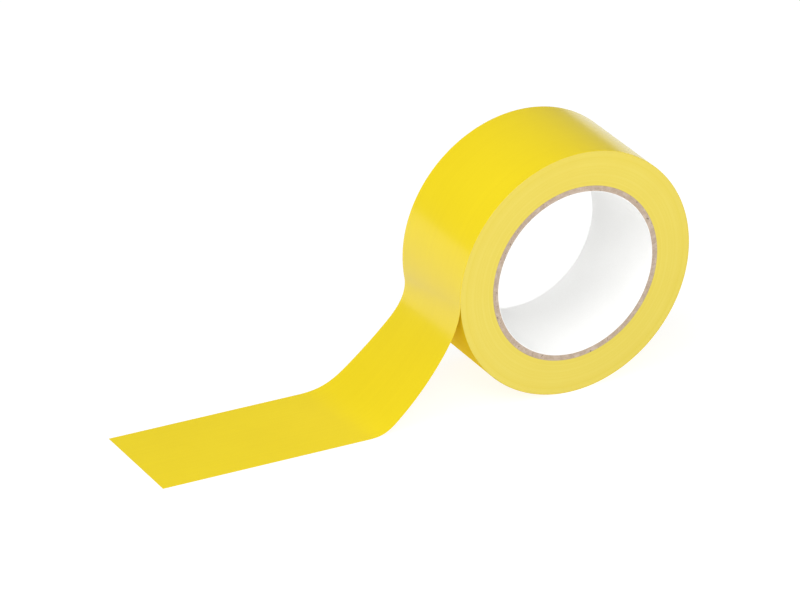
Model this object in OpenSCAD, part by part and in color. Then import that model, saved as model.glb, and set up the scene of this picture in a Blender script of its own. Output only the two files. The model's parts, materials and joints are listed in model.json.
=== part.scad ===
// Roll of wide PVC tape on a spiral-wound paperboard core, with its free tail
// running down from the roll and out along the surface that the roll stands on.
// The origin is the centre of the core bore at mid-width. +Y is the roll's axis,
// +Z is up, and the tail runs out towards -X.

/* [Tape] */
// Width of the tape, the core and so the whole roll
tape_width = 50; // [20:1:100]
// Thickness of the PVC film
film_t = 0.12; // [0.1:0.01:0.2]
// Thickness of the adhesive under the film
adhesive_t = 0.03; // [0.03:0.01:0.05]
// Turns wound on the core under the outermost turn
wound_turns = 106; // [80:1:140]

/* [Core] */
// Bore of the core, a standard 3 inch (76.2 mm) one
core_bore_d = 76.2; // [70:0.1:160]
// Thickness of the white paper liner in the bore
inner_liner_t = 0.2; // [0.1:0.05:0.5]
// Thickness of each grey board ply
board_ply_t = 0.4; // [0.3:0.05:0.8]
// Thickness of the kraft paper wrapped round the board
outer_liner_t = 0.1; // [0.1:0.05:0.3]

/* [Tail] */
// Angle below the horizontal where the tape leaves the roll, in degrees
peel_angle = 9; // [5:1:12]
// Radius of the bend just after the tape leaves the roll
peel_bend_r = 20; // [12:1:22]
// Slope of the straight stretch above the surface, in degrees
slope_angle = 46; // [40:1:50]
// Radius of the bend that lays the tape on the surface
floor_bend_r = 20; // [12:1:22]
// Flat length from that bend to the line where the free end lifts
floor_run = 58; // [20:1:120]
// Length of the free end past that line
end_run = 40; // [20:1:80]

/* [Fits] */
// Radial gap in which the roll turns inside its outermost turn
running_gap = 0.05; // [0.03:0.01:0.1]
// Gap across each line where the tail folds
fold_gap = 0.12; // [0.1:0.01:0.2]

/* [Hidden] */
$fn = 240;

board_plies = 6;
bend_steps = 20;
tape_t = film_t + adhesive_t;

// Radii, from the bore outwards
bore_r = core_bore_d / 2;
board_in_r = bore_r + inner_liner_t;
board_out_r = board_in_r + board_plies * board_ply_t;
core_out_r = board_out_r + outer_liner_t;
wound_r = core_out_r + wound_turns * tape_t;
outer_turn_in_r = wound_r + running_gap;
roll_r = outer_turn_in_r + tape_t;

// The tail is drawn in the XZ plane. Its path follows the underside of the
// adhesive. A heading is the direction of travel along it: 0 is straight down
// and 90 is level, towards -X. A layer is [near, far], its two depths above the
// path on the film's side.
ADHESIVE = [0, adhesive_t];
FILM = [adhesive_t, tape_t];
peel_heading = -peel_angle;
slope_heading = 90 - slope_angle;
floor_heading = 90;
fold_heading = (slope_heading + floor_heading) / 2;

function along(heading) = [-sin(heading), -cos(heading)];
function film_side(heading) = [-cos(heading), sin(heading)];

// Places along the path, from the roll to the cut end
peel_point = (roll_r + adhesive_t) * [-cos(peel_angle), -sin(peel_angle)];
peel_bend_centre = peel_point + peel_bend_r * film_side(peel_heading);
slope_start = peel_bend_centre - peel_bend_r * film_side(slope_heading);
floor_bend_centre_z = floor_bend_r - roll_r;
slope_end_z = floor_bend_centre_z - floor_bend_r * film_side(slope_heading)[1];
slope_len = (slope_start[1] - slope_end_z) / cos(slope_heading);
slope_end = slope_start + slope_len * along(slope_heading);
floor_bend_centre = slope_end + floor_bend_r * film_side(slope_heading);
floor_start = floor_bend_centre - floor_bend_r * film_side(floor_heading);
fold_clearance_angle = (fold_gap / 2) / floor_bend_r * 180 / PI;

// Tube of the roll's full width round the Y axis
module tube(in_r, out_r) {
    rotate([90, 0, 0])
        linear_extrude(tape_width, center = true)
            difference() {
                circle(r = out_r);
                circle(r = in_r);
            }
}

// Points round a bend, at a depth above the path
function bend(centre, path_r, depth, from_heading, to_heading) = [
    for (step = [0 : bend_steps])
        centre - (path_r - depth)
            * film_side(from_heading + (to_heading - from_heading) * step / bend_steps)
];

// Points from the roll to the fold in the floor bend
function slope_side(depth) = concat(
    bend(peel_bend_centre, peel_bend_r, depth, peel_heading, slope_heading),
    bend(floor_bend_centre, floor_bend_r, depth,
        slope_heading, fold_heading - fold_clearance_angle)
);

// Points from that fold to the line where the free end lifts
function floor_side(depth) = concat(
    bend(floor_bend_centre, floor_bend_r, depth,
        fold_heading + fold_clearance_angle, floor_heading),
    [floor_start + (floor_run - fold_gap / 2) * along(floor_heading)
        + depth * film_side(floor_heading)]
);

// Points of the free end, up to its square cut
function end_side(depth) = [
    for (run = [floor_run + fold_gap / 2, floor_run + end_run])
        floor_start + run * along(floor_heading) + depth * film_side(floor_heading)
];

// Full-width sheet between a layer's two sides
module sheet(near_side, far_side) {
    outline = concat(near_side, [for (i = [len(far_side) - 1 : -1 : 0]) far_side[i]]);
    rotate([90, 0, 0])
        linear_extrude(tape_width, center = true)
            polygon(outline);
}

module slope_layer(layer) sheet(slope_side(layer[0]), slope_side(layer[1]));

module floor_layer(layer) sheet(floor_side(layer[0]), floor_side(layer[1]));

module end_layer(layer) sheet(end_side(layer[0]), end_side(layer[1]));

module core_inner_liner() color("white") tube(bore_r, board_in_r);

// Board plies are counted from the bore outwards
module core_board_ply(number) {
    in_r = board_in_r + (number - 1) * board_ply_t;
    color("rosybrown") tube(in_r, in_r + board_ply_t);
}

module core_outer_liner() color("burlywood") tube(board_out_r, core_out_r);

module wound_tape() color("khaki") tube(core_out_r, wound_r);

module outer_turn() color("gold") tube(outer_turn_in_r, roll_r);

module tail_slope_film() color("gold") slope_layer(FILM);

module tail_slope_adhesive() color("goldenrod") slope_layer(ADHESIVE);

module tail_floor_film() color("gold") floor_layer(FILM);

module tail_floor_adhesive() color("goldenrod") floor_layer(ADHESIVE);

module tail_end_film() color("gold") end_layer(FILM);

module tail_end_adhesive() color("goldenrod") end_layer(ADHESIVE);

core_inner_liner();
for (number = [1 : board_plies])
    core_board_ply(number);
core_outer_liner();
wound_tape();
outer_turn();
tail_slope_film();
tail_slope_adhesive();
tail_floor_film();
tail_floor_adhesive();
tail_end_film();
tail_end_adhesive();
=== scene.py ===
import json
import math

import bpy
import numpy as np
from mathutils import Matrix, Vector


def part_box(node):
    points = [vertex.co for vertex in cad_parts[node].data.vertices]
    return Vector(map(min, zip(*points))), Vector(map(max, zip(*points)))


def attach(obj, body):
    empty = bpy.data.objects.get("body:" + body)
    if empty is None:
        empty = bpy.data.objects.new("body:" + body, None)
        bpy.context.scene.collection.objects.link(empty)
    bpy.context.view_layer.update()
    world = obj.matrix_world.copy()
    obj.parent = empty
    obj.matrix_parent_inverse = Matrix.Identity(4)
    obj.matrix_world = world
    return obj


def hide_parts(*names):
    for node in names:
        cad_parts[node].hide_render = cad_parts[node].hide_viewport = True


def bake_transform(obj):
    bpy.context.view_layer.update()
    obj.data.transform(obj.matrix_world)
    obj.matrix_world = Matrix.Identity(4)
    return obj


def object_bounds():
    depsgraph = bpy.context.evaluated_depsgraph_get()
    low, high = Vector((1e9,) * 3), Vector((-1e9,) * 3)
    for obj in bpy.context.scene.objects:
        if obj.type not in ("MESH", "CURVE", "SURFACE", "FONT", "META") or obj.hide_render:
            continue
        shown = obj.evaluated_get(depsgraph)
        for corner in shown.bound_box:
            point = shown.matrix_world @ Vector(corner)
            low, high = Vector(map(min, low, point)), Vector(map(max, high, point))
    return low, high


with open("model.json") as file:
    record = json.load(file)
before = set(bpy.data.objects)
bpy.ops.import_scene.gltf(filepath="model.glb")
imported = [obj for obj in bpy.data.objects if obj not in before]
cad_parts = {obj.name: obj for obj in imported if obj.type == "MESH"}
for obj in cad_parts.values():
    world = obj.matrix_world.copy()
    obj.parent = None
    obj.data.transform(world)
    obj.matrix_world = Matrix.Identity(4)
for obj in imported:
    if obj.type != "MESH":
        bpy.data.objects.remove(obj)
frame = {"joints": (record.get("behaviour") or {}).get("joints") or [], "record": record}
CAD_LOW, CAD_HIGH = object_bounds()

MM = 0.001

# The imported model's own sizes, in metres
ROLL_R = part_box("outer_turn")[1].x
HALF_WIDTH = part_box("outer_turn")[1].y
WOUND_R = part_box("wound_tape")[1].x
CORE_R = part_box("core_outer_liner")[1].x
BORE_R = next(m for m in frame["record"]["mounts"] if m["name"] == "core_bore")["dims"]["r_mm"] * MM
FLOOR_Z = CAD_LOW.z
TAIL_END_X = CAD_LOW.x
ADHESIVE_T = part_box("tail_end_film")[0].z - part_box("tail_end_adhesive")[0].z
TAPE_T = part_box("tail_end_film")[1].z - FLOOR_Z
BOARD_PLIES = [f"core_board_ply_{number}" for number in range(1, 7)]
JOINT = {joint["name"]: Vector(joint["pos_m"]) for joint in frame["joints"]}


# Camera and studio

CAMERA_AZIMUTH = -30.06
CAMERA_ELEVATION = 26.46
CAMERA_ROLL = 1.65
CAMERA_DISTANCE = 2.680
CAMERA_LENS_MM = 280.0
# How far the roll's centre stands to the right of the picture's centre, and above it
ROLL_RIGHT_OF_CENTRE = 0.0629
ROLL_ABOVE_CENTRE = 0.0213


def make_camera():
    azimuth = math.radians(CAMERA_AZIMUTH)
    elevation = math.radians(CAMERA_ELEVATION)
    roll = math.radians(CAMERA_ROLL)
    back = Vector((
        math.sin(azimuth) * math.cos(elevation),
        -math.cos(azimuth) * math.cos(elevation),
        math.sin(elevation),
    ))
    level_right = Vector((math.cos(azimuth), math.sin(azimuth), 0))
    level_up = back.cross(level_right)
    right = level_right * math.cos(roll) + level_up * math.sin(roll)
    up = level_up * math.cos(roll) - level_right * math.sin(roll)
    place = back * CAMERA_DISTANCE - right * ROLL_RIGHT_OF_CENTRE - up * ROLL_ABOVE_CENTRE
    data = bpy.data.cameras.new("camera")
    data.lens = CAMERA_LENS_MM
    data.clip_end = 50
    camera = bpy.data.objects.new("camera", data)
    bpy.context.scene.collection.objects.link(camera)
    camera.matrix_world = Matrix.Translation(place) @ Matrix((right, up, back)).transposed().to_4x4()
    bpy.context.scene.camera = camera


def softbox(name, place, aim, size, power):
    """A square area light at place, turned to aim."""
    data = bpy.data.lights.new(name, "AREA")
    data.shape = "SQUARE"
    data.size = size
    data.energy = power
    light = bpy.data.objects.new(name, data)
    bpy.context.scene.collection.objects.link(light)
    light.location = place
    light.rotation_euler = (Vector(aim) - Vector(place)).to_track_quat("-Z", "Y").to_euler()


AMBIENT_STRENGTH = 0.31


def make_studio():
    world = bpy.data.worlds.new("studio")
    bpy.context.scene.world = world
    world.use_nodes = True
    background = world.node_tree.nodes["Background"]
    background.inputs["Color"].default_value = (1, 1, 1, 1)
    background.inputs["Strength"].default_value = AMBIENT_STRENGTH
    softbox("overhead", (-1.0, -0.3, 1.75), (0, 0, 0), 1.4, 21)
    softbox("key", (-0.35, -0.72, 0.62), (-0.05, 0, 0), 0.5, 4.8)
    softbox("fill", (0.7, -1.1, 0.7), (0, 0, 0), 0.8, 4.0)
    bpy.context.scene.view_settings.view_transform = "Standard"


# Meshes

def add_piece(name, points, faces, material, body, sharp_degrees=35):
    """A piece from points and faces that rides on a body; edges over the angle stay sharp."""
    mesh = bpy.data.meshes.new(name)
    mesh.from_pydata([tuple(p) for p in points], [], faces)
    mesh.update()
    mesh.polygons.foreach_set("use_smooth", [True] * len(mesh.polygons))
    mesh.set_sharp_from_angle(angle=math.radians(sharp_degrees))
    mesh.materials.append(material)
    piece = bpy.data.objects.new(name, mesh)
    bpy.context.scene.collection.objects.link(piece)
    if body:
        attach(piece, body)
    return piece


def grid_faces(rows, columns, first, flipped):
    """Quads of a grid whose points start at first, row by row."""
    faces = []
    for row in range(rows - 1):
        for column in range(columns - 1):
            a = first + row * columns + column
            quad = (a, a + 1, a + columns + 1, a + columns)
            faces.append(quad[::-1] if flipped else quad)
    return faces


def slab(outer, inner):
    """Points and faces of the closed solid between two grids (rows, columns, 3)."""
    rows, columns, _ = outer.shape
    points = np.concatenate([outer.reshape(-1, 3), inner.reshape(-1, 3)])
    below = rows * columns
    faces = grid_faces(rows, columns, 0, False) + grid_faces(rows, columns, below, True)
    rim = list(range(columns))
    rim += [row * columns + columns - 1 for row in range(1, rows)]
    rim += [(rows - 1) * columns + column for column in range(columns - 2, -1, -1)]
    rim += [row * columns for row in range(rows - 2, 0, -1)]
    for i, a in enumerate(rim):
        b = rim[(i + 1) % len(rim)]
        faces.append((b, a, a + below, b + below))
    return points, faces


def round_axis(radius, angle, y):
    """Grid (rows, columns, 3) of points round the Y axis."""
    return np.stack([radius * np.cos(angle), y, radius * np.sin(angle)], axis=-1)


def lathe(profile, steps):
    """Points and faces of a closed profile [(radius, y)] turned round the Y axis."""
    profile = np.array(profile)
    count = len(profile)
    points = []
    for step in range(steps):
        angle = 2 * math.pi * step / steps
        points.append(round_axis(profile[:, 0], angle, profile[:, 1]))
    points = np.concatenate(points)
    faces = []
    for step in range(steps):
        here = step * count
        there = (step + 1) % steps * count
        for i in range(count):
            j = (i + 1) % count
            faces.append((here + i, here + j, there + j, there + i))
    return points, faces


# Materials

def srgb(red, green, blue):
    """A display colour, 0 to 255, as the linear colour that shaders take."""
    def linear(value):
        value /= 255
        return value / 12.92 if value <= 0.04045 else ((value + 0.055) / 1.055) ** 2.4
    return linear(red), linear(green), linear(blue), 1.0


class Material:
    """A Principled material whose inputs are fed by procedural textures."""

    def __init__(self, name, roughness, specular=0.5):
        self.material = bpy.data.materials.new(name)
        self.material.use_nodes = True
        self.nodes = self.material.node_tree.nodes
        self.links = self.material.node_tree.links
        self.shader = self.nodes["Principled BSDF"]
        self.shader.inputs["Roughness"].default_value = roughness
        self.shader.inputs["Specular IOR Level"].default_value = specular

    def node(self, kind, inputs=(), **settings):
        made = self.nodes.new(kind)
        for key, value in settings.items():
            setattr(made, key, value)
        for key, value in dict(inputs).items():
            if isinstance(value, bpy.types.NodeSocket):
                self.links.new(value, made.inputs[key])
            else:
                made.inputs[key].default_value = value
        return made

    def place(self, stretch=(1, 1, 1)):
        """The point on the object, in metres, scaled by stretch."""
        where = self.node("ShaderNodeTexCoord").outputs["Object"]
        return self.node("ShaderNodeVectorMath", {0: where, 1: stretch},
                         operation="MULTIPLY").outputs[0]

    def radius(self):
        """Distance from the roll's axis, in metres."""
        return self.node("ShaderNodeVectorMath", {0: self.place((1, 0, 1))},
                         operation="LENGTH").outputs["Value"]

    def noise(self, where, scale, detail=3.0, roughness=0.55, dimensions="3D"):
        inputs = {"Scale": scale, "Detail": detail, "Roughness": roughness}
        inputs["W" if dimensions == "1D" else "Vector"] = where
        return self.node("ShaderNodeTexNoise", inputs, noise_dimensions=dimensions).outputs["Fac"]

    def span(self, value, low, high, from_low=0.3, from_high=0.7):
        """value, mostly between from_low and from_high, mapped to low ... high."""
        return self.node("ShaderNodeMapRange", {
            "Value": value, "From Min": from_low, "From Max": from_high,
            "To Min": low, "To Max": high}).outputs["Result"]

    def mix(self, factor, first, second):
        made = self.node("ShaderNodeMix", data_type="RGBA")
        for socket, value in ((made.inputs[0], factor), (made.inputs[6], first), (made.inputs[7], second)):
            if isinstance(value, bpy.types.NodeSocket):
                self.links.new(value, socket)
            else:
                socket.default_value = value
        return made.outputs[2]

    def math(self, operation, first, second=0.0):
        return self.node("ShaderNodeMath", {0: first, 1: second}, operation=operation).outputs[0]

    def colour(self, socket):
        self.links.new(socket, self.shader.inputs["Base Color"])

    def roughness(self, socket):
        self.links.new(socket, self.shader.inputs["Roughness"])

    def bump(self, height, depth, strength=1.0):
        """Bumps of height 0 ... 1 that stand depth metres out of the surface."""
        made = self.node("ShaderNodeBump", {"Height": height, "Distance": depth, "Strength": strength})
        self.links.new(made.outputs["Normal"], self.shader.inputs["Normal"])


def film_material():
    """Smooth calendered PVC: even colour, faint draw lines along the tape, soft gloss."""
    made = Material("pvc_film", 0.26, specular=0.5)
    clouds = made.noise(made.place(), 22)
    lines = made.noise(made.place((0.02, 1, 0.02)), 900, detail=2)
    pebble = made.noise(made.place(), 900, detail=1)
    tone = made.mix(made.span(clouds, 0, 1), srgb(234, 209, 5), srgb(237, 213, 9))
    made.colour(made.mix(made.span(lines, 0, 0.25), tone, srgb(228, 202, 3)))
    made.roughness(made.span(clouds, 0.18, 0.23))
    made.bump(made.math("ADD", lines, made.math("MULTIPLY", pebble, 0.5)), 0.005 * MM, 0.5)
    return made.material


def peeled_film_painted_shade_material():
    """The film's matt release coat, on the stretch that the tail was pulled from: duller, and deeper in
    colour as painted shade from under the tail.
    """
    made = Material("peeled_film_painted_shade", 0.7, specular=0.03)
    clouds = made.noise(made.place(), 22)
    drag = made.noise(made.place((1, 0.15, 1)), 1100, detail=3)
    # These deeper yellows are painted shade: the shade under the tail, put into the film's colour.
    tone = made.mix(made.span(clouds, 0, 1), srgb(228, 196, 2), srgb(232, 200, 4))
    made.colour(made.mix(made.span(drag, 0, 0.3), tone, srgb(222, 186, 2)))
    made.roughness(made.span(drag, 0.64, 0.76))
    made.bump(drag, 0.005 * MM, 0.5)
    return made.material


def wound_edge_material():
    """Slit edges of the wound turns: paler than the face, a fine line for each turn."""
    made = Material("wound_edge", 0.5, specular=0.4)
    turn = TAPE_T
    lines = made.noise(made.radius(), 1 / turn, detail=2, dimensions="1D")
    bands = made.noise(made.radius(), 420, detail=3, dimensions="1D")
    patches = made.noise(made.place(), 45, detail=3)
    tone = made.mix(made.span(bands, 0, 1), srgb(218, 199, 74), srgb(223, 206, 92))
    tone = made.mix(made.span(patches, 0, 0.5), tone, srgb(220, 199, 76))
    made.colour(made.mix(made.span(lines, 0, 0.3), tone, srgb(212, 187, 53)))
    made.roughness(made.span(lines, 0.46, 0.56))
    return made.material


def adhesive_material():
    """Clear tacky adhesive over the film: a little deeper in colour, with a mottled gloss."""
    made = Material("adhesive", 0.3, specular=0.25)
    mottle = made.noise(made.place(), 700, detail=2)
    streaks = made.noise(made.place((0.05, 1, 0.05)), 500, detail=2)
    tone = made.mix(made.span(mottle, 0, 1), srgb(212, 180, 14), srgb(220, 190, 26))
    made.colour(made.mix(made.span(streaks, 0, 0.3), tone, srgb(204, 168, 8)))
    made.roughness(made.span(mottle, 0.3, 0.42))
    made.bump(mottle, 0.004 * MM, 0.4)
    return made.material


def board_material():
    """Grey-brown recycled board: fibres, ply lines and dark specks."""
    made = Material("core_board", 0.85, specular=0.2)
    fibres = made.noise(made.place(), 1500, detail=4, roughness=0.65)
    plies = made.noise(made.radius(), 3200, detail=1, dimensions="1D")
    lumps = made.noise(made.place(), 420, detail=2)
    specks = made.noise(made.place(), 900, detail=1)
    tone = made.mix(made.span(fibres, 0, 1), srgb(166, 147, 129), srgb(194, 176, 158))
    tone = made.mix(made.span(plies, 0, 0.4), tone, srgb(162, 138, 120))
    tone = made.mix(made.span(lumps, 0, 0.35, 0.48, 0.68), tone, srgb(216, 201, 188))
    made.colour(made.mix(made.span(specks, 0, 1, 0.7, 0.76), tone, srgb(96, 80, 68)))
    made.bump(fibres, 0.05 * MM, 0.7)
    return made.material


def kraft_material():
    """Brown kraft paper."""
    made = Material("kraft_paper", 0.8, specular=0.2)
    fibres = made.noise(made.place((1, 0.3, 1)), 2400, detail=4)
    made.colour(made.mix(made.span(fibres, 0, 1), srgb(160, 128, 98), srgb(184, 154, 124)))
    made.bump(fibres, 0.03 * MM, 0.5)
    return made.material


def liner_material():
    """Smooth white paper with faint fibres."""
    made = Material("liner_paper", 0.7, specular=0.3)
    fibres = made.noise(made.place(), 1200, detail=4, roughness=0.6)
    clouds = made.noise(made.place(), 60, detail=2)
    tone = made.mix(made.span(clouds, 0, 1), srgb(249, 249, 248), srgb(251, 251, 250))
    made.colour(made.mix(made.span(fibres, 0, 0.4), tone, srgb(243, 243, 241)))
    made.bump(fibres, 0.02 * MM, 0.4)
    return made.material


FLOOR_GLOW = 0.84


def floor_material():
    """Plain pale sweep, lit from below like a light table, so that shadows stay faint."""
    made = Material("floor", 0.9, specular=0.1)
    tone = made.noise(made.place(), 3)
    made.colour(made.mix(made.span(tone, 0, 1), srgb(133, 133, 133), srgb(137, 137, 137)))
    made.shader.inputs["Emission Color"].default_value = (1, 1, 1, 1)
    made.shader.inputs["Emission Strength"].default_value = FLOOR_GLOW
    return made.material


# The tail. It leaves the roll a little lower at the far edge (+Y) than at the near
# one, so the slope is slightly twisted. Every place is worked out from the cross
# position across, which runs from -1 at the near edge to 1 at the far edge.

PEEL_ANGLE = 7.1          # degrees below level where the tape leaves the roll
PEEL_ANGLE_TWIST = 5.0
CURL_MM = 25.0            # length over which the tape swings off the roll
CURL_TWIST_MM = -1.1
SLOPE_HEADING = 30.1      # degrees from straight down towards -X, once off the roll
SLOPE_TWIST = 9.8
SLOPE_DRIFT = 0.35        # further degrees of heading for each mm of slope
SLOPE_DRIFT_TWIST = -0.11
FLOOR_BEND_MM = 22.5      # length of the bend that lays it on the surface
FLOOR_BEND_TWIST_MM = 5.8
LEVEL_HEADING = 90.0

TAIL_COLUMNS = 25
SLOPE_ROWS = 90
FLOOR_BEND_ROWS = 44
FLOOR_ROWS = 40
STEPS_PER_ROW = 8
INTEGRATION_STEP = 0.1 * MM
BEND_STEPS = 400
SLOPE_LENGTHS = (10 * MM, 90 * MM)    # between which the slope's true length is looked for
HALVINGS = 40


def peel_angle(across):
    return PEEL_ANGLE + PEEL_ANGLE_TWIST * across


def slope_heading(length, across):
    """Heading in degrees on the slope, length metres after the peel line."""
    start = -peel_angle(across)
    curl = (CURL_MM + CURL_TWIST_MM * across) * MM
    share = np.clip(length / curl, 0, 1)
    settled = SLOPE_HEADING + SLOPE_TWIST * across
    drift = (SLOPE_DRIFT + SLOPE_DRIFT_TWIST * across) / MM
    return start + (settled - start) * share * (2 - share) + drift * length


def travel(headings, steps):
    """Moves in x and z along a path of these headings."""
    angles = np.radians(headings)
    return np.cumsum(-np.sin(angles) * steps), np.cumsum(-np.cos(angles) * steps)


def floor_bend_headings(start, count):
    share = (np.arange(count) + 0.5) / count
    return start + (LEVEL_HEADING - start) * share * share * (3 - 2 * share)


def tail_column(across):
    """Film-side points (x, z) and headings down one line of the tail, from the roll to the cut end."""
    angle = math.radians(peel_angle(across))
    start = np.array([-ROLL_R * math.cos(angle), -ROLL_R * math.sin(angle)])
    film_z = FLOOR_Z + TAPE_T
    bend_len = (FLOOR_BEND_MM + FLOOR_BEND_TWIST_MM * across) * MM

    def drop(slope_len):
        """How far the path falls over a slope of this length and the bend after it; negative is down."""
        count = max(2, int(slope_len / INTEGRATION_STEP))
        step = slope_len / count
        lengths = (np.arange(count) + 0.5) * step
        headings = slope_heading(lengths, across)
        _, slope_z = travel(headings, step)
        bend = floor_bend_headings(slope_heading(slope_len, across), BEND_STEPS)
        _, bend_z = travel(bend, bend_len / BEND_STEPS)
        return slope_z[-1] + bend_z[-1]

    low, high = SLOPE_LENGTHS
    for _ in range(HALVINGS):
        middle = (low + high) / 2
        if start[1] + drop(middle) > film_z:
            low = middle
        else:
            high = middle
    slope_len = (low + high) / 2

    slope_steps = SLOPE_ROWS * STEPS_PER_ROW
    bend_steps = FLOOR_BEND_ROWS * STEPS_PER_ROW
    slope_step = slope_len / slope_steps
    bend_step = bend_len / bend_steps
    slope_headings = slope_heading((np.arange(slope_steps) + 0.5) * slope_step, across)
    bend_headings = floor_bend_headings(slope_heading(slope_len, across), bend_steps)
    steps = np.concatenate([np.full(slope_steps, slope_step), np.full(bend_steps, bend_step)])
    x, z = travel(np.concatenate([slope_headings, bend_headings]), steps)
    x = np.concatenate([[0], x])[::STEPS_PER_ROW] + start[0]
    z = np.concatenate([[0], z])[::STEPS_PER_ROW] + start[1]
    edge_headings = np.concatenate([
        slope_heading(np.linspace(0, slope_len, SLOPE_ROWS + 1), across),
        floor_bend_headings(slope_heading(slope_len, across), FLOOR_BEND_ROWS)])
    edge_headings[-1] = LEVEL_HEADING
    flat_x = np.linspace(x[-1], TAIL_END_X, FLOOR_ROWS + 1)[1:]
    x = np.concatenate([x, flat_x])
    z = np.concatenate([z, np.full(FLOOR_ROWS, film_z)])
    z[SLOPE_ROWS + FLOOR_BEND_ROWS:] = film_z
    headings = np.concatenate([edge_headings, np.full(FLOOR_ROWS, LEVEL_HEADING)])
    return x, z, np.radians(headings)


def tail_grids():
    """Grids (rows, columns, 3) at three depths: the film's face, the film's back, the adhesive's face."""
    across = np.linspace(-1, 1, TAIL_COLUMNS)
    columns = [tail_column(a) for a in across]
    x = np.array([c[0] for c in columns]).T
    z = np.array([c[1] for c in columns]).T
    heading = np.array([c[2] for c in columns]).T
    y = np.broadcast_to(across * HALF_WIDTH, x.shape)
    grids = []
    for depth in (0, TAPE_T - ADHESIVE_T, TAPE_T):
        grids.append(np.stack([x + depth * np.cos(heading), y, z - depth * np.sin(heading)], axis=-1))
    return grids


# Rows where one stretch of the tail ends and the next begins, each between two joints
SLOPE_SPLIT = 49
FLOOR_SPLIT = SLOPE_ROWS + FLOOR_BEND_ROWS + 10

# Where the tape is meant to bend at each joint. The last span is all past its line, so that the tape
# before the line would stay on the surface;
# make_tail works these spans out but bends nothing with them.
PEEL_BEND_START = 4 * MM    # past the peel line
PEEL_BEND_END = 16 * MM
BEND_REACH = 8 * MM         # to each side of the line in the floor bend
LIFT_BEND_END = 24 * MM     # past the line where the free end lifts


def make_tail(film, adhesive):
    """The tail's three stretches, film and adhesive, each a fixed piece; the bend span of each joint is
    worked out but not used.
    """
    face, back, sticky = tail_grids()
    last = len(face) - 1
    peel, bend, lift = JOINT["tail_peel"], JOINT["tail_bend"], JOINT["tail_lift"]
    slope_dir = (bend - peel).normalized()
    level = Vector((-1, 0, 0))
    stretches = [
        ("slope", 0, SLOPE_SPLIT, "last_turn", "tail_slope",
         peel + slope_dir * PEEL_BEND_START, peel + slope_dir * PEEL_BEND_END),
        ("floor", SLOPE_SPLIT, FLOOR_SPLIT, "tail_slope", "tail_floor",
         bend - slope_dir * BEND_REACH, bend + level * BEND_REACH),
        ("end", FLOOR_SPLIT, last, "tail_floor", "tail_end",
         lift, lift + level * LIFT_BEND_END),
    ]
    for name, first, final, body, next_body, start, end in stretches:
        rows = slice(first, final + 1)
        layers = (
            ("film", face[rows], back[rows], film, "pvc_film"),
            ("adhesive", back[rows], sticky[rows], adhesive, "adhesive"),
        )
        for layer, outer, inner, material, slot in layers:
            points, faces = slab(outer, inner)
            piece = add_piece(f"{name}_{layer}", points, faces, material, None)
            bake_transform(piece)
            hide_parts(f"tail_{name}_{layer}")


# The roll

HALF_TURN_ROWS = 240
RING_COLUMNS = 25
UNDER_TAIL = 0.8 * TAPE_T    # how much closer to the axis the last turn ends, under the tail


def make_outer_turn(film, peeled_film_painted_shade):
    """The last turn in two pieces, which meet where the roll stands."""
    inner_r = ROLL_R - TAPE_T
    across = np.linspace(-1, 1, RING_COLUMNS)
    y = across * HALF_WIDTH
    start = np.radians(180 + peel_angle(across))
    stand = math.radians(-90)
    end = start - 2 * math.pi
    stretches = (
        ("last_turn_film", start, stand, film),
        # The second piece's film is darkened to a deeper yellow: painted shade from under the tail.
        ("last_turn_peeled_painted_shade", stand, end, peeled_film_painted_shade),
    )
    for name, first, final, material in stretches:
        share = np.linspace(1, 0, HALF_TURN_ROWS + 1)[:, None]
        angle = first + (final - first) * share
        outer_r = ROLL_R - UNDER_TAIL * (start - angle) / (2 * math.pi)
        wide = np.broadcast_to(y, angle.shape)
        points, faces = slab(round_axis(outer_r, angle, wide), round_axis(inner_r, angle, wide))
        piece = add_piece(name, points, faces, material, "last_turn")
        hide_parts("outer_turn")


WOUND_STEPS = 240
GROOVE = 0.035 * MM          # depth of the groove between two turns
TURN_WANDER = 0.0105 * MM    # how far a turn stands off its neighbours
PACK_WANDER = 0.039 * MM     # how far neighbouring turns wander together
TURNS_TOGETHER = 9


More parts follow.
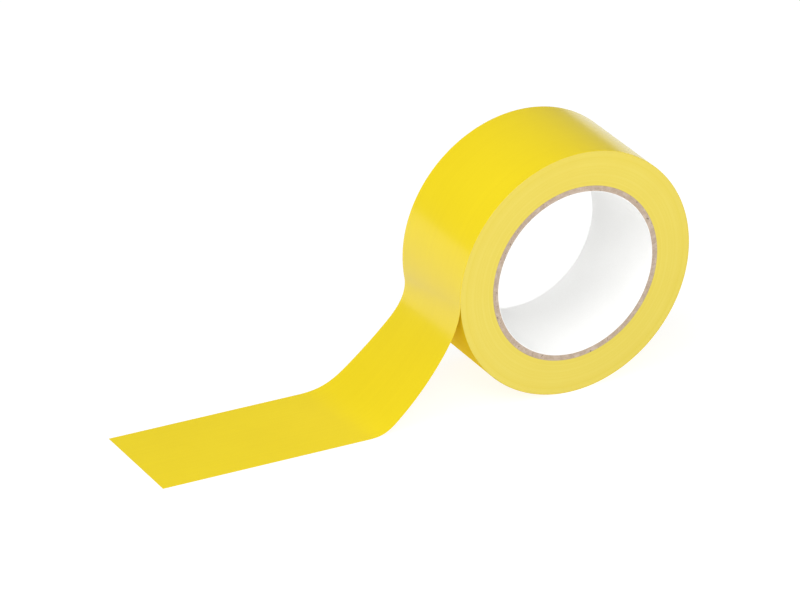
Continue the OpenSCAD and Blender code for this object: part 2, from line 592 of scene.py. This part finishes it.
def make_wound_turns(edge):
    """The wound pack: every turn's slit edge stands a little proud of, or behind, the next."""
    turns = round((WOUND_R - CORE_R) / TAPE_T)
    random = np.random.default_rng(5)
    loose = random.uniform(0, 1, turns + 1)
    average = np.ones(TURNS_TOGETHER) / TURNS_TOGETHER
    smooth = np.convolve(random.uniform(0, 1, turns + TURNS_TOGETHER), average, mode="valid")
    recess = TURN_WANDER * loose + PACK_WANDER * smooth
    radii = CORE_R + np.arange(2 * turns + 1) * TAPE_T / 2
    depth = np.array([recess[i // 2] + (0 if i % 2 else GROOVE) for i in range(len(radii))])
    front = [(r, -HALF_WIDTH + d) for r, d in zip(radii, depth)]
    back = [(r, HALF_WIDTH - d) for r, d in zip(radii[::-1], depth[::-1])]
    points, faces = lathe(front + back, WOUND_STEPS)
    piece = add_piece("wound_turns", points, faces, edge, "roll", sharp_degrees=60)
    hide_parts("wound_tape")


CORE_ROWS = 240
CORE_COLUMNS = 21
HELIX_LEAD = math.radians(35)
BOARD_SEAM_MM = (0.2, 0.6)    # narrowest and widest gap where a board strip meets itself
PAPER_SEAM_MM = 0.05
CUT_WOBBLE = 0.04 * MM        # how uneven the core's cut ends are


def make_core(board, liner, kraft):
    """The core's layers, each a strip wound on a helix with a butt seam."""
    layers = [("core_inner_liner", liner, "liner_paper")]
    layers += [(ply, board, "core_board") for ply in BOARD_PLIES]
    layers += [("core_outer_liner", kraft, "kraft_paper")]
    random = np.random.default_rng(11)
    columns = np.linspace(-1, 1, CORE_COLUMNS)
    y = columns * HALF_WIDTH
    inwards = -np.sign(columns) * (np.abs(columns) == 1)
    share = np.linspace(1, 0, CORE_ROWS + 1)[:, None]
    inner_r = BORE_R
    for node, material, slot in layers:
        outer_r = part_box(node)[1].x
        seam = random.uniform(0, 2 * math.pi)
        gap = (random.uniform(*BOARD_SEAM_MM) if node in BOARD_PLIES else PAPER_SEAM_MM) * MM
        sweep = 2 * math.pi - gap / inner_r
        angle = seam + (y / math.tan(HELIX_LEAD) / inner_r)[None, :] - sweep * share
        wobble = CUT_WOBBLE * (1 + np.sin(angle * 7 + seam) * np.cos(angle * 3))
        wide = y[None, :] + inwards[None, :] * wobble
        points, faces = slab(round_axis(outer_r, angle, wide), round_axis(inner_r, angle, wide))
        piece = add_piece(node.replace("core_", "wound_"), points, faces, material, "roll")
        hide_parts(node)
        inner_r = outer_r


def make_floor(material):
    bpy.ops.mesh.primitive_plane_add(size=30, location=(0, 0, FLOOR_Z - 0.05 * MM))
    floor = bpy.context.object
    floor.name = "floor"
    floor.data.materials.append(material)


make_camera()
make_studio()
film = film_material()
adhesive = adhesive_material()
make_floor(floor_material())
make_outer_turn(film, peeled_film_painted_shade_material())
make_wound_turns(wound_edge_material())
make_core(board_material(), liner_material(), kraft_material())
make_tail(film, adhesive)
